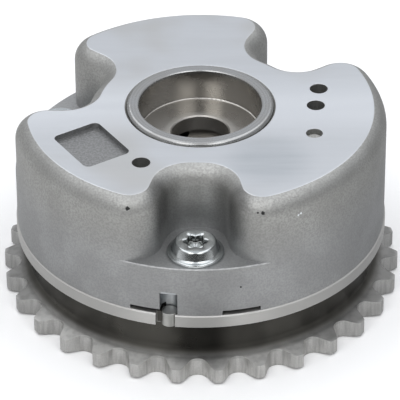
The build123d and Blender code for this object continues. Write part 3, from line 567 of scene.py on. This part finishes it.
def sintered_steel():
    """Pressed and sintered steel, with dark scale on the neck and a turned rim on the flange."""
    metals = settings()
    material, tree, shader = new_nodes("sintered_and_turned_steel")
    place, z = object_position(tree)
    patches = noise(tree, place, 7.0 * MM)
    pores = noise(tree, place, 0.22 * MM, detail=4.0)
    stains = noise(tree, place, 2.2 * MM, detail=5.0)
    radius = distance_from_axis(tree, place)
    wall = upright(tree)
    front = over(tree, z, WEB_FACE, 0.2 * MM)
    flange = over(tree, z, FLANGE_FOOT, 0.1 * MM)
    level = product(tree, front, opposite(tree, wall))
    neck = product(tree, fall(tree, radius, NECK_CORE, NECK_EDGE),
                   math_node(tree, "SUBTRACT", front, flange))
    notch = product(tree, within(tree, place, PIN_PLACE, NOTCH_RADIUS, 0.4 * MM),
                    under(tree, radius, RIM_CORE, 0.15 * MM))
    rim = product(tree, flange, opposite(tree, notch))
    tone = pressed_teeth(tree, place, patches, pores)
    tone = mix_colour(tree, level, tone, pressed_web(tree, place, stains))
    tone = mix_colour(tree, neck, tone, neck_scale(tree, place))
    # Painted dark reflection at the front of the neck
    tone = mix_colour(tree, dark_reflection(tree, place, radius, flange, wall), tone, BLACK)
    tone = mix_colour(tree, rim, tone, metals.turned_rim)
    tone = mix_colour(tree, product(tree, flange, notch), tone, metals.raw_sinter)
    matt = math_node(tree, "MAXIMUM", product(tree, rim, 0.12), product(tree, level, 0.24))
    matt = math_node(tree, "SUBTRACT", matt, product(tree, neck, 0.06))
    roughness = math_node(tree, "ADD", ramp(tree, patches, 0.3, 0.7, 0.32, 0.42), matt)
    turned_gloss(tree, shader, product(tree, math_node(tree, "MAXIMUM", rim, neck), wall, 0.9))
    lines = product(tree, turned_lines(tree, z, 2.4 * metals.turning_feed), flange)
    height = math_node(tree, "ADD", product(tree, math_node(tree, "ADD", pores, stains), 0.5),
                       product(tree, lines, 0.25))
    edges = rounded_normal(tree, metals.edge_round)
    set_surface(tree, shader, tone, roughness, bump(tree, height, 0.02 * MM, edges, 0.7))
    return material


def machined_steel():
    """Turned steel, slightly warm: rings and a cooler tone on the nose, and a duller hole."""
    metals = settings()
    material, tree, shader = new_nodes("turned_rotor_steel")
    place, z = object_position(tree)
    radius = distance_from_axis(tree, place)
    patches = noise(tree, place, 6.0 * MM)
    nose = ramp(tree, z, NOSE_HEIGHT - 1.2 * MM, NOSE_HEIGHT - 0.6 * MM)
    tone = mix_colour(tree, nose, metals.machined, shade(metals.machined, (0.95, 1.00, 1.07)))
    tone = mix_colour(tree, ramp(tree, patches, 0.35, 0.7, 0.0, 0.3), tone,
                      shade(metals.machined, 0.82))
    rings = product(tree, turned_lines(tree, radius, 4.5 * metals.turning_feed), nose,
                    ramp(tree, patches, 0.3, 0.6, 0.15, 0.40))
    tone = mix_colour(tree, rings, tone, shade(metals.machined, 0.55))
    in_hole = fall(tree, radius, HOLE_CORE, HOLE_EDGE)
    roughness = math_node(tree, "ADD", ramp(tree, patches, 0.3, 0.7, 0.24, 0.32),
                          product(tree, in_hole, 0.16))
    turned_gloss(tree, shader, product(tree, upright(tree), in_hole, 0.6))
    specks = noise(tree, place, 0.5 * MM)
    edges = rounded_normal(tree, metals.edge_round)
    set_surface(tree, shader, tone, roughness, bump(tree, specks, 0.006 * MM, edges, 0.5))
    return material


def in_recess(tree):
    """1 inside a bolt's recess, found by the bolt's UV map.

    U is the distance from the bolt's axis over its radius, and V is the height over its seat in
    centimetres. The recess lies inside U 0.47, from V 0.10 to V 0.31.
    """
    chart = parts(tree, tree.nodes.new("ShaderNodeTexCoord").outputs["UV"])
    return product(tree, fall(tree, chart["X"], 0.40, 0.47), ramp(tree, chart["Y"], 0.10, 0.12),
                   fall(tree, chart["Y"], 0.27, 0.31))


def plain_metal(name, colour, roughness, grain, height, recess=None):
    """A metal with a fine even grain in its colour, gloss and surface.

    recess is the colour inside a bolt's recess.
    """
    material, tree, shader = new_nodes(name)
    place = object_position(tree)[0]
    specks = noise(tree, place, grain, detail=4.0)
    clouds = noise(tree, place, 12.0 * grain, detail=2.0)
    tone = mix_colour(tree, ramp(tree, clouds, 0.35, 0.7, 0.0, 0.4), colour, shade(colour, 0.80))
    if recess is not None:
        tone = mix_colour(tree, in_recess(tree), tone, recess)
    matt = ramp(tree, clouds, 0.3, 0.7, roughness * 0.85, roughness * 1.2)
    edges = rounded_normal(tree, settings().edge_round)
    set_surface(tree, shader, tone, matt, bump(tree, specks, height, edges, 0.6))
    return material


def seal_polymer():
    """Dark moulded plastic with a faint satin grain."""
    material, tree, shader = new_nodes("moulded_seal")
    place = object_position(tree)[0]
    specks = noise(tree, place, 0.3 * MM, detail=4.0)
    colour = settings().seal
    tone = mix_colour(tree, ramp(tree, specks, 0.35, 0.65), colour, shade(colour, 1.5))
    roughness = ramp(tree, specks, 0.3, 0.7, 0.45, 0.6)
    edges = rounded_normal(tree, settings().edge_round)
    normal = bump(tree, specks, 0.01 * MM, edges, 0.5)
    set_surface(tree, shader, tone, roughness, normal, metallic=0.0)
    return material


def dress(material, names):
    """Gives nodes of the frame a material in every slot."""
    for name in names:
        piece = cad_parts[name]
        if not piece.data.materials:
            piece.data.materials.append(material)
        for index in range(len(piece.data.materials)):
            piece.data.materials[index] = material


def named(prefix):
    """The frame's nodes whose names start with a prefix."""
    return [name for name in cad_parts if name.startswith(prefix)]


def rounded_profile(corners, steps=5):
    """A profile of radius and height with rounded corners.

    Each corner is (radius, height, rounding). A rounding r leaves the two sides at a distance of
    r / tan(half the angle between them), and follows the arc that touches both there.
    """
    places = np.array([corner[:2] for corner in corners])
    profile = [places[:1]]
    for before, here, after, corner in zip(places, places[1:], places[2:], corners[1:]):
        rounding = corner[2]
        if rounding <= 0:
            profile.append(here[None])
            continue
        inward = (before - here) / np.linalg.norm(before - here)
        outward = (after - here) / np.linalg.norm(after - here)
        half = math.acos(np.clip(inward @ outward, -1, 1)) / 2
        bisector = (inward + outward) / np.linalg.norm(inward + outward)
        centre = here + bisector * rounding / math.sin(half)
        first = here + inward * rounding / math.tan(half) - centre
        last = here + outward * rounding / math.tan(half) - centre
        share = np.linspace(0, 1, steps + 1)[:, None]
        sweep = math.pi - 2 * half
        arc = (np.sin((1 - share) * sweep) * first + np.sin(share * sweep) * last) / math.sin(sweep)
        profile.append(centre + arc)
    profile.append(places[-1:])
    return np.vstack(profile)


def closed_grid(name, points):
    """A mesh from rows of points round an axis, closed by a point at each end.

    points has the shape rows, columns, 3. The first and last rows are single points, held in
    their first column. Rows run up the outside, so the faces point outwards.
    """
    rows, columns = points.shape[:2]
    ring = points[1:-1].reshape(-1, 3)
    vertices = np.vstack([ring, points[0, :1], points[-1, :1]])
    low_pole, high_pole = len(ring), len(ring) + 1
    row = np.arange(rows - 3)[:, None] * columns
    column = np.arange(columns)[None]
    beside = (column + 1) % columns
    quads = np.stack([row + column, row + beside,
                      row + columns + beside, row + columns + column], -1)
    first = np.arange(columns)
    second = (first + 1) % columns
    last = (rows - 3) * columns
    low = np.stack([second, first, np.full(columns, low_pole)], -1)
    high = np.stack([last + first, last + second, np.full(columns, high_pole)], -1)
    faces = quads.reshape(-1, 4).tolist() + low.tolist() + high.tolist()
    mesh = bpy.data.meshes.new(name)
    mesh.from_pydata(vertices.tolist(), [], faces)
    mesh.validate()
    return mesh


def bolt_points(sizes, centre, low, high, reach):
    """A bolt as rows of points round its axis, worked out over its seat.

    Rows follow the turned profile from the tip up the shank, over the flange and the head, and
    down the recess to its middle. A point of the shank lies deeper by the thread depth times a
    triangle wave of height / pitch - angle / full turn, which fades out over the thread's first
    and last pitch. A point of the recess lies further out by the lobe height times the cosine of
    the number of lobes times the angle, times the square of its radius over the recess's.
    """
    tip, top = low - SEAT_HEIGHT, high - SEAT_HEIGHT
    thread_low, thread_high = tip + sizes.pitch, -sizes.plain
    shank, flange, foot, rim = SHANK_RADIUS, sizes.flange, sizes.foot, sizes.recess_mean
    floor = top - sizes.recess
    # Each corner is a radius, a height and a rounding
    below = rounded_profile([(0.0, tip, 0), (shank - sizes.depth, tip, 0.1 * MM),
                             (shank - 0.02 * MM, thread_low, 0)])
    turns = np.arange(thread_low, thread_high, sizes.pitch / ROWS_PER_PITCH)[1:]
    thread = np.stack([np.full(len(turns), shank), turns], -1)
    above = rounded_profile([
        (shank, thread_high, 0), (shank, 0.0, 0), (reach, 0.0, 0.12 * MM),
        (reach, flange, 0.3 * MM), (foot + 0.35 * MM, flange + 0.05 * MM, 0.12 * MM),
        (foot, flange + 0.35 * MM, 0.2 * MM), (sizes.crown, top, 0.55 * MM),
        (rim + 0.7 * MM, top, 0), (rim + 0.25 * MM, top - 0.1 * MM, 0.1 * MM),
        (rim, top - 0.25 * MM, 0.1 * MM), (rim - 0.05 * MM, floor, 0.15 * MM),
        (0.9 * MM, floor - 0.35 * MM, 0), (0.0, floor - 0.5 * MM, 0),
    ])
    profile = np.vstack([below, thread, above])
    outline = profile[:, 0:1]
    angle = np.linspace(0, 2 * math.pi, BOLT_COLUMNS, endpoint=False)
    radius = outline + np.zeros((1, BOLT_COLUMNS))
    height = profile[:, 1:2] + np.zeros((1, BOLT_COLUMNS))
    wave = height / sizes.pitch - angle[None] / (2 * math.pi)
    triangle = 2 * np.abs(wave - np.floor(wave) - 0.5)
    fade_in = np.clip((height - thread_low) / sizes.pitch, 0, 1)
    fade_out = np.clip((thread_high - height) / sizes.pitch, 0, 1)
    on_shank = (height < 0) & (outline > shank / 2)
    radius = radius - sizes.depth * triangle * (fade_in * fade_out) * on_shank
    row = np.arange(len(profile))[:, None]
    in_hollow = (row > len(below) + len(turns) + 1) & (outline < rim + 0.5 * MM)
    swing = in_hollow * np.clip(radius / rim, 0, 1) ** 2 * sizes.recess_swing
    radius = radius + swing * np.cos(sizes.lobes * angle)[None]
    return np.stack([centre.x + radius * np.cos(angle), centre.y + radius * np.sin(angle),
                     SEAT_HEIGHT + height], -1)


def chart_bolt(mesh, centre, reach):
    """Gives a bolt the UV map that in_recess reads."""
    corners = np.zeros(len(mesh.loops), dtype=np.int32)
    mesh.loops.foreach_get("vertex_index", corners)
    places = np.zeros(len(mesh.vertices) * 3)
    mesh.vertices.foreach_get("co", places)
    places = places.reshape(-1, 3)[corners] - np.array([centre.x, centre.y, SEAT_HEIGHT])
    across = np.hypot(places[:, 0], places[:, 1]) / reach
    chart = np.stack([across, places[:, 2] * 100], -1)  # 100 centimetres to a metre
    mesh.uv_layers.new(name="profile").data.foreach_set("uv", chart.ravel())


def coil_points(centre, low, high, reach, wire, turns):
    """A wound wire as rows of points round it, from one end of the wire to the other.

    Along the wire the angle grows by a full turn for each winding, and the share of the height
    is s - 0.6 sin(2 pi s) / (2 pi) for the share s of the angle, so that the end windings lie
    closer together. Each row is a circle of the wire's radius across the wire.
    """
    share = np.linspace(0, 1, int(turns * ROWS_PER_WINDING) + 1)
    angle = 2 * math.pi * turns * share
    rise = share - 0.6 * np.sin(2 * math.pi * share) / (2 * math.pi)
    out = np.stack([np.cos(angle), np.sin(angle), np.zeros_like(angle)], -1)
    middle = np.array([centre.x, centre.y, 0.0]) + (reach - wire) * out
    middle[:, 2] = low + wire + (high - low - 2 * wire) * rise
    along = np.gradient(middle, axis=0)
    along /= np.linalg.norm(along, axis=1)[:, None]
    across = np.cross(along, out)
    turn = np.linspace(0, 2 * math.pi, WIRE_COLUMNS, endpoint=False)
    rows = (middle[:, None] + wire * np.cos(turn)[None, :, None] * out[:, None]
            + wire * np.sin(turn)[None, :, None] * across[:, None])
    caps = np.repeat(middle[[0, -1], None], WIRE_COLUMNS, axis=1)
    return np.concatenate([caps[:1], rows, caps[1:]])


def put_in_scene(name, mesh, material, smooth=True):
    """An object at the origin with the mesh and its material."""
    mesh.materials.append(material)
    if smooth:
        mesh.shade_smooth()
    piece = bpy.data.objects.new(name, mesh)
    bpy.context.scene.collection.objects.link(piece)
    return piece


class CAMPHASER_OT_chain_wheel(bpy.types.Operator):
    """Finish the chain wheel in sintered and turned steel"""

    bl_idname = "camphaser.chain_wheel"
    bl_label = "Finish Chain Wheel"

    def execute(self, context):
        dress(sintered_steel(), ["sprocket"])
        return {"FINISHED"}


class CAMPHASER_OT_housing(bpy.types.Operator):
    """Finish the housing in cast aluminium with a ground front face"""

    bl_idname = "camphaser.housing"
    bl_label = "Finish Housing"

    def execute(self, context):
        dress(cast_aluminium(), ["housing"])
        return {"FINISHED"}


class CAMPHASER_OT_rotor(bpy.types.Operator):
    """Finish the rotor and the lock spring's seat in turned steel"""

    bl_idname = "camphaser.rotor"
    bl_label = "Finish Rotor"

    def execute(self, context):
        dress(machined_steel(), ["rotor", "lock_spring_seat"])
        return {"FINISHED"}


class CAMPHASER_OT_pins(bpy.types.Operator):
    """Finish the lock pin and its bush in hardened steel, and the locating pin in dull steel"""

    bl_idname = "camphaser.pins"
    bl_label = "Finish Pins"

    def execute(self, context):
        metals = settings()
        steel = plain_metal("ground_hardened_steel", metals.hardened, 0.30, 0.25 * MM, 0.008 * MM)
        dress(steel, ["lock_pin", "lock_bush"])
        dull = plain_metal("dull_pin_steel", metals.dull, 0.46, 0.35 * MM, 0.02 * MM)
        dress(dull, ["locating_pin"])
        return {"FINISHED"}


class CAMPHASER_OT_springs(bpy.types.Operator):
    """Wind the lock pin's spring as a coil, and finish it and the leaf springs"""

    bl_idname = "camphaser.springs"
    bl_label = "Make Springs"

    def execute(self, context):
        steel = plain_metal("drawn_spring_steel", settings().spring, 0.34, 0.12 * MM, 0.004 * MM)
        dress(steel, ["lock_spring"] + named("shoe_seal_spring") + named("tip_seal_spring"))
        sizes = context.scene.cam_phaser_spring
        low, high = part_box("lock_spring")
        centre = (low + high) / 2
        reach = (high.y - low.y) / 2
        points = coil_points(centre, low.z, high.z, reach, sizes.wire, sizes.turns)
        coil = put_in_scene("lock_coil", closed_grid("lock_coil", points), steel)
        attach(coil, ROTOR_BODY)
        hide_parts("lock_spring")
        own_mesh(coil)
        return {"FINISHED"}


class CAMPHASER_OT_seals(bpy.types.Operator):
    """Finish the vane and shoe seals in dark moulded plastic"""

    bl_idname = "camphaser.seals"
    bl_label = "Finish Seals"

    def execute(self, context):
        bars = [name for name in named("shoe_seal") + named("tip_seal") if "spring" not in name]
        dress(seal_polymer(), bars)
        return {"FINISHED"}


class CAMPHASER_OT_bolts(bpy.types.Operator):
    """Make the three housing bolts with their threads, flanges and six-lobe recesses"""

    bl_idname = "camphaser.bolts"
    bl_label = "Make Housing Bolts"

    def execute(self, context):
        sizes = context.scene.cam_phaser_bolt
        metals = settings()
        zinc = plain_metal("bright_zinc_plating", metals.zinc, 0.20, 0.2 * MM, 0.006 * MM,
                           recess=metals.recess)
        nodes = named("housing_bolt_")
        dress(zinc, nodes)
        for node in nodes:
            low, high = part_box(node)
            centre = (low + high) / 2
            reach = (high.x - low.x) / 2
            name = node.replace("housing_bolt", "flange_bolt")
            mesh = closed_grid(name, bolt_points(sizes, centre, low.z, high.z, reach))
            chart_bolt(mesh, centre, reach)
            piece = put_in_scene(name, mesh, zinc)
            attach(piece, HOUSING_BODY)
            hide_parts(node)
        return {"FINISHED"}


def seen_by(tree, seen, unseen, *rays):
    """Chooses a colour for the rays named, and another for the rest."""
    path = tree.nodes.new("ShaderNodeLightPath")
    share = 0.0
    for ray in rays:
        share = math_node(tree, "MAXIMUM", path.outputs[ray], share)
    return mix_colour(tree, share, unseen, seen)


def facing(place, target):
    """The turn and place of a lamp or camera that looks from a place at a target."""
    sight = (target - place).to_track_quat("-Z", "Y")
    return Matrix.Translation(place) @ sight.to_matrix().to_4x4()


def area_lamp(name, width, length, power, stand):
    """Hangs a soft rectangular lamp at its stand, a matrix."""
    data = bpy.data.lights.new(name, "AREA")
    data.shape = "RECTANGLE"
    data.size = width
    data.size_y = length
    data.energy = power
    lamp = bpy.data.objects.new(name, data)
    lamp.matrix_world = stand
    bpy.context.scene.collection.objects.link(lamp)


class CAMPHASER_OT_studio(bpy.types.Operator):
    """Set up the pale room, the floor, the four soft lamps and the camera"""

    bl_idname = "camphaser.studio"
    bl_label = "Set Up Studio"

    def execute(self, context):
        studio = context.scene.cam_phaser_studio
        self.make_room(context, studio)
        self.make_floor(studio)
        self.make_lamps(studio)
        self.make_camera(context, studio)
        context.scene.view_settings.view_transform = "Standard"
        return {"FINISHED"}

    def make_room(self, context, studio):
        world = bpy.data.worlds.new("pale_room")
        world.use_nodes = True
        tree = world.node_tree
        # The metal mirrors a room that is paler higher up, and dark on the camera's side
        sight = parts(tree, tree.nodes.new("ShaderNodeTexCoord").outputs["Generated"])
        risen = ramp(tree, sight["Z"], 0.1, 0.45)
        right = ramp(tree, sight["X"], 0.2, 0.9, 0.0, 0.30)
        left = fall(tree, sight["X"], -0.9, -0.3, 0.85)
        front = fall(tree, sight["Y"], -0.95, -0.25)
        mirrored = mix_colour(tree, risen, studio.horizon, studio.room)
        mirrored = mix_colour(tree, right, mirrored, BLACK)
        mirrored = mix_colour(tree, left, mirrored, studio.left_side)
        mirrored = mix_colour(tree, front, mirrored, studio.dark_side)
        colour = seen_by(tree, studio.backdrop, mirrored, "Is Camera Ray", "Is Transmission Ray")
        put(tree, tree.nodes["Background"].inputs["Color"], colour)
        context.scene.world = world

    def make_floor(self, studio):
        half = 2.0
        corners = [(-half, -half), (half, -half), (half, half), (-half, half)]
        mesh = bpy.data.meshes.new("floor")
        mesh.from_pydata([(x, y, FLOOR_HEIGHT) for x, y in corners], [], [(0, 1, 2, 3)])
        material, tree, shader = new_nodes("floor_paper")
        # The metal mirrors a floor that is darker behind it, and shaded in a strip in front
        place = parts(tree, tree.nodes.new("ShaderNodeTexCoord").outputs["Object"])
        x, y = place["X"], place["Y"]
        behind = ramp(tree, y, -80.0 * MM, 0.0)
        left = fall(tree, x, -80.0 * MM, -42.0 * MM, 0.6)
        slant = math_node(tree, "DIVIDE", math_node(tree, "ABSOLUTE", x),
                          math_node(tree, "ABSOLUTE", y))
        strip = product(tree, fall(tree, slant, 0.12, 0.26), fall(tree, y, -60.0 * MM, -52.0 * MM),
                        ramp(tree, y, -76.0 * MM, -68.0 * MM))
        mirrored = mix_colour(tree, behind, studio.table, studio.table_back)
        mirrored = mix_colour(tree, left, mirrored, studio.table)
        mirrored = mix_colour(tree, strip, mirrored, studio.table_shade)
        colour = seen_by(tree, studio.backdrop, mirrored, "Is Camera Ray")
        put(tree, shader.inputs["Base Color"], colour)
        shader.inputs["Roughness"].default_value = 0.9
        shader.inputs["Specular IOR Level"].default_value = 0.1
        floor = put_in_scene("floor", mesh, material, smooth=False)

    def make_lamps(self, studio):
        reach = (studio.lamp_gap + studio.lamp_width) / 2
        for side in (-1, 1):
            overhead = Matrix.Translation((side * reach, 0.0, studio.lamp_height))
            area_lamp("soft_lamp", studio.lamp_width, studio.lamp_length, studio.lamp_power,
                      overhead)
            turn, rise = side * studio.front_turn, studio.front_rise
            place = studio.front_distance * Vector((
                math.sin(turn) * math.cos(rise), -math.cos(turn) * math.cos(rise), math.sin(rise)))
            power = studio.front_power * (1 - side * studio.front_balance)
            area_lamp("front_lamp", studio.front_width, studio.front_height, power,
                      facing(place, Vector()))

    def make_camera(self, context, studio):
        data = bpy.data.cameras.new("camera")
        data.lens = studio.lens
        data.sensor_width = 36.0
        data.dof.use_dof = False
        camera = bpy.data.objects.new("camera", data)
        roll = Matrix.Rotation(-studio.camera_roll, 4, "Z")
        stand = facing(Vector(studio.camera_place), Vector(studio.camera_aim))
        camera.matrix_world = stand @ roll
        context.scene.collection.objects.link(camera)
        context.scene.camera = camera


class CAMPHASER_PT_panel(bpy.types.Panel):
    """The cam phaser's pieces, finishes and studio"""

    bl_idname = "CAMPHASER_PT_panel"
    bl_label = "Cam Phaser"
    bl_space_type = "VIEW_3D"
    bl_region_type = "UI"
    bl_category = "Cam Phaser"

    def draw(self, context):
        layout = self.layout
        for operator in OPERATORS:
            layout.operator(operator.bl_idname)
        for name in GROUPS:
            group = getattr(context.scene, name)
            box = layout.box()
            for key in group.bl_rna.properties.keys():
                if key not in {"rna_type", "name"}:
                    box.prop(group, key)


GROUPS = {
    "cam_phaser_metals": CamPhaserMetals,
    "cam_phaser_bolt": CamPhaserBolt,
    "cam_phaser_spring": CamPhaserSpring,
    "cam_phaser_studio": CamPhaserStudio,
}
OPERATORS = [
    CAMPHASER_OT_chain_wheel, CAMPHASER_OT_housing, CAMPHASER_OT_rotor, CAMPHASER_OT_pins,
    CAMPHASER_OT_springs, CAMPHASER_OT_seals, CAMPHASER_OT_bolts, CAMPHASER_OT_studio,
]
CLASSES = [*GROUPS.values(), *OPERATORS, CAMPHASER_PT_panel]


def register():
    for item in CLASSES:
        bpy.utils.register_class(item)
    for name, group in GROUPS.items():
        setattr(bpy.types.Scene, name, PointerProperty(type=group))


def unregister():
    for name in GROUPS:
        delattr(bpy.types.Scene, name)
    for item in reversed(CLASSES):
        bpy.utils.unregister_class(item)


def main():
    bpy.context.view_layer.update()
    register()
    bpy.ops.camphaser.studio()
    bpy.ops.camphaser.chain_wheel()
    bpy.ops.camphaser.housing()
    bpy.ops.camphaser.rotor()
    bpy.ops.camphaser.pins()
    bpy.ops.camphaser.springs()
    bpy.ops.camphaser.seals()
    bpy.ops.camphaser.bolts()


if __name__ == "__main__":
    main()
